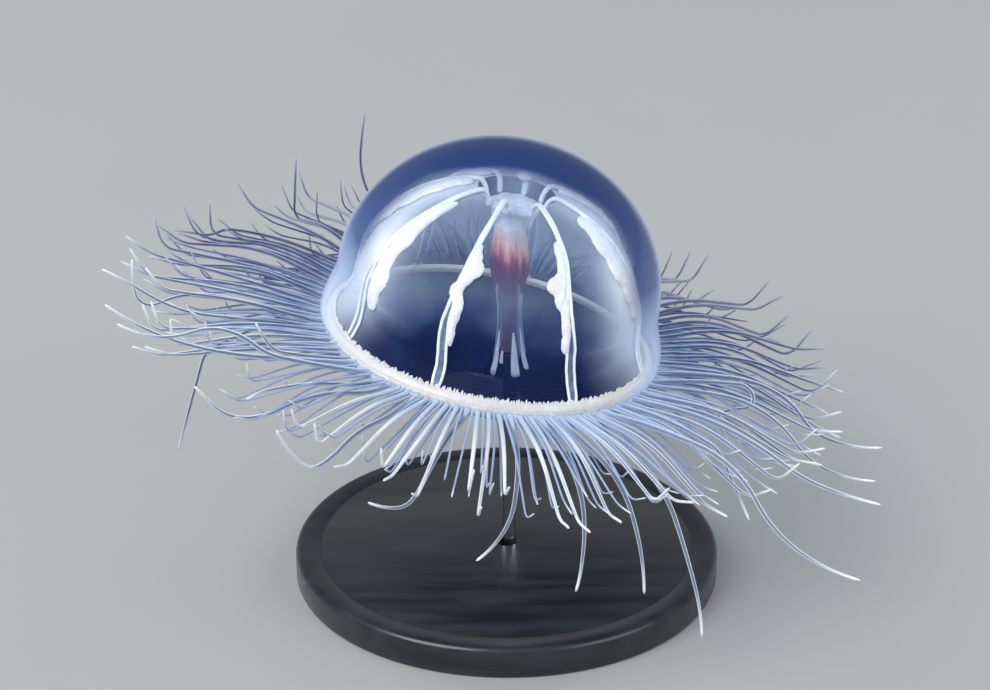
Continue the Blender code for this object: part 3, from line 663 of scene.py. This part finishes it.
def base_finish():
    """Black lacquered wood, rubbed to a satin."""
    made = Finish("black_lacquer", Coat_Weight=0.5, Coat_Roughness=0.22, Specular_IOR_Level=0.35)
    rubbed = made.noise(0.6, 4.0, made.stretched(0.15, 1, 1))
    made.paint(made.spread(rubbed, 0.3, 0.7), (0.008, 0.009, 0.013), (0.022, 0.024, 0.032))
    made.drive("Roughness", made.spread(rubbed, 0.3, 0.7, 0.32, 0.46))
    made.bump(made.noise(5.0, 2.0, made.place(standing=True)), 0.006)


def rod_finish():
    made = Finish("clear_acrylic", Transmission_Weight=1, IOR=1.49)
    made.paint(made.noise(0.3, 1), (0.97, 0.985, 1), (0.93, 0.96, 0.985))
    made.drive("Roughness", made.spread(made.noise(1.2, 2.0), 0.3, 0.7, 0.01, 0.05))


def floor_finish():
    made = Finish("pale_floor", Roughness=0.75, Specular_IOR_Level=0.15)
    made.paint(made.noise(0.02, 2.0), (0.38, 0.385, 0.395), (0.41, 0.415, 0.42))


# --- bell ---


def soft(point, azimuth, width, height):
    """The point, shifted outwards by the bell's soft unevenness; nothing moves on the axis."""
    spot = around(1.1, azimuth, height * 0.09) + Vector((3.1, 0.4, 1.7))
    return point + around(UNEVEN * noise.noise(spot) * min(1, width / 6), azimuth, 0)


def dome_profile():
    """Down the outside from the crown to the skirt's foot."""
    turns = [share * math.pi / 2 for share in np.linspace(1, 0, DOME_STEPS, endpoint=False)]
    dome = [(DOME_WIDTH * math.cos(turn), DOME_FOOT + DOME_HEIGHT * math.sin(turn)) for turn in turns]
    skirt = [(DOME_WIDTH + (SKIRT_WIDTH - DOME_WIDTH) * (1 - math.cos(math.pi * share)) / 2,
              DOME_FOOT + (SKIRT_FOOT - DOME_FOOT) * share) for share in np.linspace(0, 1, SKIRT_STEPS)]
    return dome + skirt


def hollow_point(share, inset):
    """A point (radius, height) under the hollow's roof: rim 0, crown 1."""
    turn = share * math.pi / 2
    return ((HOLLOW_WIDTH - inset) * math.cos(turn), HOLLOW_FOOT + (HOLLOW_HEIGHT - inset) * math.sin(turn))


def make_bell():
    """The clear jelly: dome, rounded foot, and the roof of the hollow with its funnel."""
    inside = BELL_INSIDE + [hollow_point(share, 0) for share in np.linspace(0, HOLLOW_REACH, 26)]
    roof = BELL_EDGE[-1:] + inside + BELL_FUNNEL
    shape = Shape()
    shape.turned(dome_profile() + BELL_EDGE, BELL_SEGMENTS, soft, flip=True)
    shape.cap(0, BELL_SEGMENTS, flip=True)
    start = shape.turned(roof, BELL_SEGMENTS, soft, finish=1, flip=True)
    shape.cap(start + (len(roof) - 1) * BELL_SEGMENTS, BELL_SEGMENTS, finish=1)
    mount(shape.piece("bell_jelly", ANIMAL, "clear_blue_jelly", "clear_hollow_skin"), "jelly", "bell")


def make_muscle():
    """The sheet under the canals, up the wall to the peduncle's root."""
    wall = [hollow_point(share, MUSCLE_INSET) for share in np.linspace(0.02, HOLLOW_REACH, 24)]
    shape = Shape()
    shape.turned(MUSCLE_FOOT + wall + MUSCLE_RIDGE, BELL_SEGMENTS, soft, smooth=3)
    mount(shape.piece("bell_muscle", ANIMAL, "blue_grey_muscle_painted_shade_and_sheen"), "veil")


def veil_point(_, azimuth, share, drop):
    """The veil's sheet at a share of its way in, set down by that much between its two edges."""
    angle = math.radians(azimuth)
    pleat = math.sin(angle * NARROW_PLEATS) + 0.6 * math.sin(angle * WIDE_PLEATS + 1)
    width = VELUM_WIDTH + (VELUM_OPENING - VELUM_WIDTH) * share + PLEAT_OUT * pleat * share
    height = -VELUM_ROOT - VELUM_DROP * share ** 0.85 + PLEAT_DOWN * pleat * share
    return around(width, azimuth, height - drop * math.sin(math.pi * share) ** 0.5)


def make_velum():
    """A thin veil with fine pleats and a scalloped free edge: painted dark inside as shade, paler outside.
    """
    shape = Shape()
    for finish, drop in enumerate((0, VELUM_SKIN)):
        rows = [(share, drop) for share in np.linspace(0, 1, VELUM_ROWS)]
        shape.turned(rows, VELUM_SEGMENTS, veil_point, finish=finish, flip=bool(finish))
    mount(shape.piece("veil", ANIMAL, "thin_veil_painted_shade", "pale_veil_outside"), "veil", "velum")


def canal_line():
    """The canals' way as (radius, height), from the ring over the ridge onto the peduncle."""
    roof = [hollow_point(share, CANAL_INSET) for share in CANAL_STOPS]
    return smooth_line(CANAL_ROOT + roof + CANAL_END, 8)


def beside_canal(number, width, height, sideways):
    """A point at that radius and height, so many millimetres to one side of canal number."""
    azimuth = CANAL_AZIMUTHS[number] + math.degrees((sideways + meander(number, height)) / max(width, 1))
    return soft(around(width, azimuth, height), azimuth, width, height)


def meander(number, height):
    """How far a canal strays to one side at that height."""
    stray = 0.22 * noise.noise(Vector((number * 5.3, height * 0.33, 0.7))) * min(1, height / 3)
    return stray + CANAL_SWAYS[number] * math.sin(math.pi * min(1, max(0, height / 14))) ** 2


def make_canal(number):
    """Two pale walls with a film between, which close to one strand in the upper half."""
    line = canal_line()
    shape = Shape()
    sides = []
    for side in (-1, 1):
        walls, radii = [], []
        for spot, (width, height) in enumerate(line):
            share = spot / (len(line) - 1)
            apart = CANAL_CLOSED + (CANAL_GAP - CANAL_CLOSED) * np.interp(share, *CANAL_OPEN)
            wave = 0.05 * noise.noise(Vector((number * 3.7 + side, height * 1.3, 2.2)))
            walls.append(beside_canal(number, width, height, side * (apart + wave)))
            radii.append(np.interp(share, *CANAL_RADII))
        shape.tube(walls, radii, sides=10)
        sides.append(walls)
    rows = []
    for left, right in list(zip(*sides))[:len(line) // 2]:
        rows.append([tuple(left.lerp(right, step / FILM_STEPS)) for step in range(FILM_STEPS + 1)])
    shape.grid(rows, finish=1, round_columns=False)
    canal = f"canal_{number + 1}"
    mount(shape.piece(f"{canal}_walls", ANIMAL, "milky_canal", "canal_film"), "canal", canal)


def make_gonad(number):
    """Lobes moulded into one, wrinkled body beside the canal."""
    shape = Shape()
    lobes = list(GONAD_LOBES[number])
    for one, two in zip(lobes[:-1], lobes[1:]):  # a smaller lobe joins each to the next
        share, sideways, long, wide = (np.array(one) + np.array(two)) / 2
        lobes.append((share, sideways, long, wide * GONAD_BRIDGE))
    for share, sideways, long, wide in lobes:
        shape.ball(3, lambda spot: beside_canal(number, *hollow_point(
            share + spot.x * long / GONAD_MERIDIAN, GONAD_INSET + GONAD_DEPTH * spot.z),
            sideways + spot.y * wide))
    name = f"gonad_{number + 1}"
    gonad = shape.piece(f"{name}_lobes", ANIMAL, "white_gonad")
    remesh = gonad.modifiers.new("one_body", "REMESH")
    remesh.mode = "VOXEL"
    remesh.voxel_size = GONAD_VOXEL * MM
    remesh.use_smooth_shade = True
    ease = gonad.modifiers.new("ease", "SMOOTH")
    ease.iterations = GONAD_EASING
    bake_modifiers(gonad)
    for vert in gonad.data.vertices:
        spot = vert.co / MM
        crumple = sum(height * noise.noise(spot * folds) for height, folds in GONAD_CRUMPLES)
        vert.co += vert.normal * crumple * MM
    mount(gonad, "gonad", name)


# --- peduncle, stomach and mouth ---


def make_peduncle():
    """A cloudy cone with rounded shoulders that the canals run onto."""

    def fluted(point, azimuth, width, height):
        flute = math.cos(math.radians(8 * (azimuth - CANAL_AZIMUTHS[0])))
        swell = PEDUNCLE_FLUTE * flute * min(1, (height - 10.4) / 3, width / 2)
        return point + around(swell, azimuth, 0)

    shape = Shape()
    shape.turned(PEDUNCLE_PROFILE, 96, fluted, smooth=5, flip=True)
    mount(shape.piece("peduncle_cone", ANIMAL, "milky_peduncle"), "peduncle", "peduncle")


def make_stomach():
    """Stomach and mouth tube in one, with four soft folds."""

    def folded(point, azimuth, width, height):
        angle = math.radians(STOMACH_FOLDS * azimuth + (height - 30) * FOLD_TWIST)
        depth = 0.09 * width * math.cos(angle) + 0.05 * width * noise.noise(point * 0.9)
        return point + around(depth, azimuth, 0)

    shape = Shape()
    shape.turned(STOMACH_PROFILE, 72, folded, smooth=6, flip=True)
    stomach = shape.piece("stomach_and_tube", HANGING, "salmon_to_purple_stomach")
    mount(stomach, "stomach", "stomach", "mouth_tube")


def make_sleeve():
    """The cloudy sleeve round the mouth tube, which parts into the lips."""

    def scalloped(point, azimuth, width, height):
        low = max(0, (26.5 - height) / 4)
        flute = math.cos(math.radians(LIPS * (azimuth - LIP_AZIMUTH)))
        return point + around(0.2 * flute * (0.4 + low), azimuth, -0.5 * low * flute * low)

    shape = Shape()
    shape.turned(SLEEVE_PROFILE, 72, scalloped, smooth=6, flip=True)
    mount(shape.piece("mouth_sleeve", HANGING, "cloudy_sleeve"), "lips")


def make_lip(number):
    """A soft leaf with a thickened white tip."""
    azimuth = LIP_AZIMUTH + number * 360 / LIPS
    width, height = LIP_END
    knots = [*LIP_KNOTS, (width, height + LIP_RISES[number])]
    line = smooth_line([tuple(around(out, azimuth, high)) for out, high in knots], 8)
    radii = np.interp(np.linspace(0, 1, len(line)), *LIP_RADII)
    shape = Shape()
    shape.tube(line, radii, sides=16, flatten=0.5, sideways=tuple(around(1, azimuth + 90, 0)))
    mount(shape.piece(f"lip_{number + 1}_leaf", HANGING, "pale_lip"), "lips", f"lip_{number + 1}")


# --- ring and tentacles ---


def make_ring():
    """The cream ring with its fine teeth, over a pale blue foot that the tentacles leave."""
    shape = Shape()
    draw = random.Random(SEED + 1)
    shape.turned(RING_BAND + RING_BAND[:1], 360, flip=True)
    shape.turned(RING_SOLE + RING_SOLE[:1], 360, finish=1, flip=True)
    for tooth in range(TEETH):
        azimuth = (tooth + draw.uniform(-TOOTH_JITTER, TOOTH_JITTER)) * 360 / TEETH
        tall = draw.uniform(*TOOTH_HEIGHTS)
        wide = draw.uniform(*TOOTH_WIDTHS)
        centre = around(RING_WIDTH - TOOTH_INSET, azimuth, TOOTH_FOOT + tall * 0.4)
        lean = Matrix.Rotation(math.radians(azimuth), 3, "Z") @ Matrix.Rotation(TOOTH_LEAN, 3, "Y")
        shape.ball(2, lambda spot: centre + lean @ Vector(
            (spot.x * TOOTH_DEPTH, spot.y * wide, spot.z * tall)))
    mount(shape.piece("rim_ring", ANIMAL, "cream_ring", "pale_blue_foot"), "tentacle")


def walk(azimuth, length, keys, drop=ROOT_DROP):
    """A tentacle's centre line, walked from its root in small equal steps along its bends."""
    spots, lifts, swings = zip(*keys)
    point = around(ROOT_WIDTH, azimuth, -drop)
    line = [point]
    for number in range(WALK_STEPS):
        share = (number + 0.5) / WALK_STEPS
        lift = math.radians(np.interp(share, spots, lifts))
        heading = azimuth + np.interp(share, spots, swings)
        point = point + around(math.cos(lift), heading, math.sin(lift)) * (length / WALK_STEPS)
        line.append(point)
    return line


def ordinary_bends(azimuth, draw):
    """Length and bends of a tentacle that rises a little, droops, and turns up at its tip."""
    rightward = math.cos(math.radians(azimuth))
    backward = math.sin(math.radians(azimuth))
    length = ORDINARY_LENGTH + LENGTH_RIGHT * rightward + LENGTH_BACK * backward
    length += draw.uniform(-LENGTH_SPREAD, LENGTH_SPREAD)
    droop = ORDINARY_DROOP + DROOP_RIGHT * rightward + DROOP_BACK * backward
    droop += draw.uniform(-DROOP_SPREAD, DROOP_SPREAD)
    tip = ORDINARY_TIP + TIP_RIGHT * rightward + TIP_ENDS * abs(backward) + draw.uniform(*TIP_SPREAD)
    sweep = SWEEP_RIGHT * rightward * (1 - backward) / 2 + draw.uniform(-SWEEP_SPREAD, SWEEP_SPREAD)
    tip_sweep = draw.uniform(-TIP_SWEEP_SPREAD, TIP_SWEEP_SPREAD)
    keys = ((0, 5 - 3 * backward, 0), (0.25, draw.uniform(0, 10), sweep / 2), (0.6, droop, sweep),
            (0.8, droop * 0.9, sweep), (0.9, tip, sweep), (1, tip, sweep + tip_sweep))
    return length, keys


def dense(line):
    """The straight runs between the points, sampled closely."""
    spots = np.array(line)
    shares = np.linspace(0, len(line) - 1, 10 * len(line))
    return np.stack([np.interp(shares, range(len(line)), spots[:, axis]) for axis in range(3)], axis=1)


def stays_clear(samples, others, clearance):
    return all(((samples[:, None] - other) ** 2).sum(axis=2).min() >= clearance ** 2 for other in others)


def grow_thick():
    """Names and centre lines of the thick ones by slot: the named and odd ones, then the rest."""
    draw = random.Random(SEED)
    lines, taken = {}, []
    named = [(name, *plan) for name, plan in LONG_TENTACLES.items()]
    for name, azimuth, length, keys in named + [("", *plan) for plan in ODD_TENTACLES]:
        slot = round(azimuth * SLOTS / 360) % SLOTS
        line = walk(slot * 360 / SLOTS, length, keys)
        lines[slot] = (name, line)
        taken.append(dense(line[:: WALK_STEPS // LONG_LENGTHS]))
    for slot in sorted(set(range(SLOTS)) - set(lines)):
        for _ in range(TRIES):
            azimuth = slot * 360 / SLOTS
            length, keys = ordinary_bends(azimuth, draw)
            line = walk(azimuth, length, keys)
            samples = dense(line[:: WALK_STEPS // ORDINARY_LENGTHS])
            if stays_clear(samples, taken, CLEARANCE):
                lines[slot] = ("", line)
                taken.append(samples)
                break
    return lines


def grow_fine(lines):
    """Two rows of finer, shorter tentacles: one in each gap, and one under each thick one."""
    draw = random.Random(SEED + 2)
    taken = [np.array(line[::2]) for _, line in lines.values()]
    fine = [[] for _ in range(SLOTS)]
    for offset, drop, shortest, longest, sag in FINE_ROWS:
        for slot in range(SLOTS):
            for attempt in range(FINE_TRIES):
                azimuth = (slot + offset) * 360 / SLOTS
                length, keys = ordinary_bends(azimuth, draw)
                keys = [(share, lift + sag, swing) for share, lift, swing in keys]
                length *= draw.uniform(shortest, longest) * (1 - FINE_SHORTER * attempt)
                line = walk(azimuth, length, keys, ROOT_DROP + drop + FINE_STAGGER * (-1) ** slot * offset)
                samples = np.array(line[::2])
                if stays_clear(samples[3:], taken, FINE_CLEARANCE):
                    fine[slot].append(line)
                    taken.append(samples)
                    break
    return fine


def swollen(radii, shares, swell, reach):
    """The radii with a swollen root and a round tip."""
    radii = radii * (1 + swell * np.exp(-(shares / reach) ** 2))
    radii[-1] *= ROUND_TIP
    return radii


def add_thick(shape, line, thick=THICK, tip=THICK_TIP):
    """A clear sheath over a darker core."""
    shares = np.linspace(0, 1, len(line))
    radii = np.interp(shares, (0, 0.5, 1), (thick / 2, (thick + tip) / 3.7, tip / 2))
    radii = swollen(radii, shares, 0.35, 0.035)
    shape.tube(line, radii, sides=10)
    shape.tube(line[:-3], radii[:-3] * CORE, sides=6, finish=1)


def add_fine(shape, line):
    shares = np.linspace(0, 1, len(line))
    radii = swollen(np.interp(shares, (0, 1), (FINE / 2, FINE_TIP / 2)), shares, 0.4, 0.04)
    radii = np.r_[radii[:1], radii[1:-1:2], radii[-1:]]
    shape.tube(line[:1] + line[1:-1:2] + line[-1:], radii, sides=7, finish=2)


def make_tentacles():
    """Each sector's tentacles as one fringe, and the long ones as pieces of their own."""
    thick = grow_thick()
    fine = grow_fine(thick)
    finishes = ("steel_blue_sheath", "dark_blue_core", "fine_blue_thread")
    per_sector = SLOTS // SECTORS
    for sector in range(SECTORS):
        fringe = Shape()
        for slot in range(sector * per_sector, (sector + 1) * per_sector):
            name, line = thick.get(slot, ("", None))
            if name:
                single = Shape()
                add_thick(single, line, LONG, LONG_TIP)
                name = f"tentacle_{name}"
                mount(single.piece(name, ANIMAL, *finishes), "tentacle", f"{name}_upper", f"{name}_lower")
            elif line:
                add_thick(fringe, line)
            for thread in fine[slot]:
                add_fine(fringe, thread)
        piece = fringe.piece(f"fringe_{sector + 1}", ANIMAL, *finishes)
        mount(piece, "tentacle", f"margin_{sector + 1}")


# --- stand ---


def make_stand():
    """A lacquered disc with an eased edge and a fine groove, and a clear rod."""
    edge = BASE_WIDTH - BASE_BEVEL
    profile = BASE_SOCKET + [(edge - inwards, height) for inwards, height in BASE_GROOVE]
    for turn in range(0, 91, 10):
        angle = math.radians(turn)
        profile.append((edge + BASE_BEVEL * math.sin(angle),
                        BASE_HEIGHT - BASE_BEVEL * (1 - math.cos(angle))))
    base = Shape()
    base.turned(profile + BASE_FOOT, 160, flip=True)
    disc = base.piece("stand_base_disc", STANDING, "black_lacquer", crease=50)
    mount(disc, "stand_base", "stand_base")
    rod = Shape()
    rod.turned([(0, ROD_FOOT), (ROD_WIDTH, ROD_FOOT), (ROD_WIDTH, ROD_TOP - 0.25),
                (ROD_WIDTH - 0.1, ROD_TOP - 0.06), (ROD_WIDTH - 0.3, ROD_TOP), (0, ROD_TOP)], 48)
    clear = rod.piece("stand_rod_clear", HANGING, "clear_acrylic", crease=50)
    mount(clear, "stand_rod", "stand_rod")


# --- studio ---


def make_floor():
    data = bpy.data.meshes.new("floor")
    data.from_pydata(FLOOR, [], [(0, 1, 2, 3)])
    data.materials.append(bpy.data.materials["pale_floor"])
    show("floor", data)


def make_studio():
    """Dim sky, and round soft lamps aimed at the animal."""
    world = bpy.data.worlds.new("studio")
    world.use_nodes = True
    background = world.node_tree.nodes["Background"]
    background.inputs["Color"].default_value = SKY
    background.inputs["Strength"].default_value = SKY_STRENGTH
    bpy.context.scene.world = world
    for name, (position, size, power, colour, mirrored) in LAMPS.items():
        lamp = bpy.data.lights.new(name, "AREA")
        lamp.shape, lamp.size, lamp.energy, lamp.color = "DISK", size, power, colour
        light = show(name, lamp)
        light.location = position
        light.visible_glossy = mirrored
        light.rotation_euler = (Vector(position) - Vector(LAMP_AIM)).to_track_quat("Z", "Y").to_euler()


def make_camera():
    up = Vector((0, math.sin(VIEW_DOWN), math.cos(VIEW_DOWN)))
    ahead = Vector((0, math.cos(VIEW_DOWN), -math.sin(VIEW_DOWN)))
    target = Vector(RIM_CENTRE) + Vector((VIEW_RIGHT, 0, 0)) - up * VIEW_DROP
    lens = bpy.data.cameras.new("camera")
    lens.lens = LENS
    lens.sensor_width = SENSOR
    lens.clip_start = 0.01
    camera = show("camera", lens)
    camera.location = (target - ahead * VIEW_DISTANCE) * MM
    camera.rotation_euler = (math.pi / 2 - VIEW_DOWN, 0, 0)
    bpy.context.scene.camera = camera


for finish in (jelly_finish, hollow_finish, muscle_finish, velum_finish, veil_outside_finish, ring_finish,
               peduncle_finish, sleeve_finish, stomach_finish, base_finish, rod_finish, floor_finish):
    finish()
# The canals, gonads and lips glow a little: painted light, standing for light let through them.
milky_finish("milky_canal", (1, 1, 1), (0.92, 0.95, 0.98), 1, 1.2, glow=0.14)
milky_finish("canal_film", (0.4, 0.5, 0.66), (0.3, 0.4, 0.58), 0.45, 1.2)
milky_finish("white_gonad", (1, 0.99, 0.985), (0.97, 0.9, 0.9), 1, 0.5, 0.38, 0.05)
milky_finish("pale_lip", (1, 0.98, 0.96), (0.93, 0.9, 0.9), 0.95, 0.9, glow=0.35)
milky_finish("pale_blue_foot", (0.6, 0.72, 0.88), (0.42, 0.55, 0.76), 0.8, 1.4)
# Tentacle colours in front, at the side and behind: paler in front and near-black behind as painted light
# and shade.
tentacle_finish("steel_blue_sheath", (0.62, 0.74, 0.9), (0.2, 0.3, 0.54), (0.035, 0.055, 0.22), clear=True)
tentacle_finish("dark_blue_core", (0.08, 0.14, 0.32), (0.05, 0.09, 0.25), (0.012, 0.018, 0.11))
tentacle_finish("fine_blue_thread", (0.36, 0.47, 0.72), (0.13, 0.2, 0.42), (0.03, 0.04, 0.18))

bpy.context.scene.view_settings.view_transform = "Standard"
bpy.context.scene.cycles.transparent_max_bounces = 24
make_camera()
make_studio()
make_floor()
make_bell()
make_muscle()
make_velum()
for canal in range(len(CANAL_AZIMUTHS)):
    make_canal(canal)
    make_gonad(canal)
make_peduncle()
make_stomach()
make_sleeve()
for lip in range(LIPS):
    make_lip(lip)
make_ring()
make_tentacles()
make_stand()
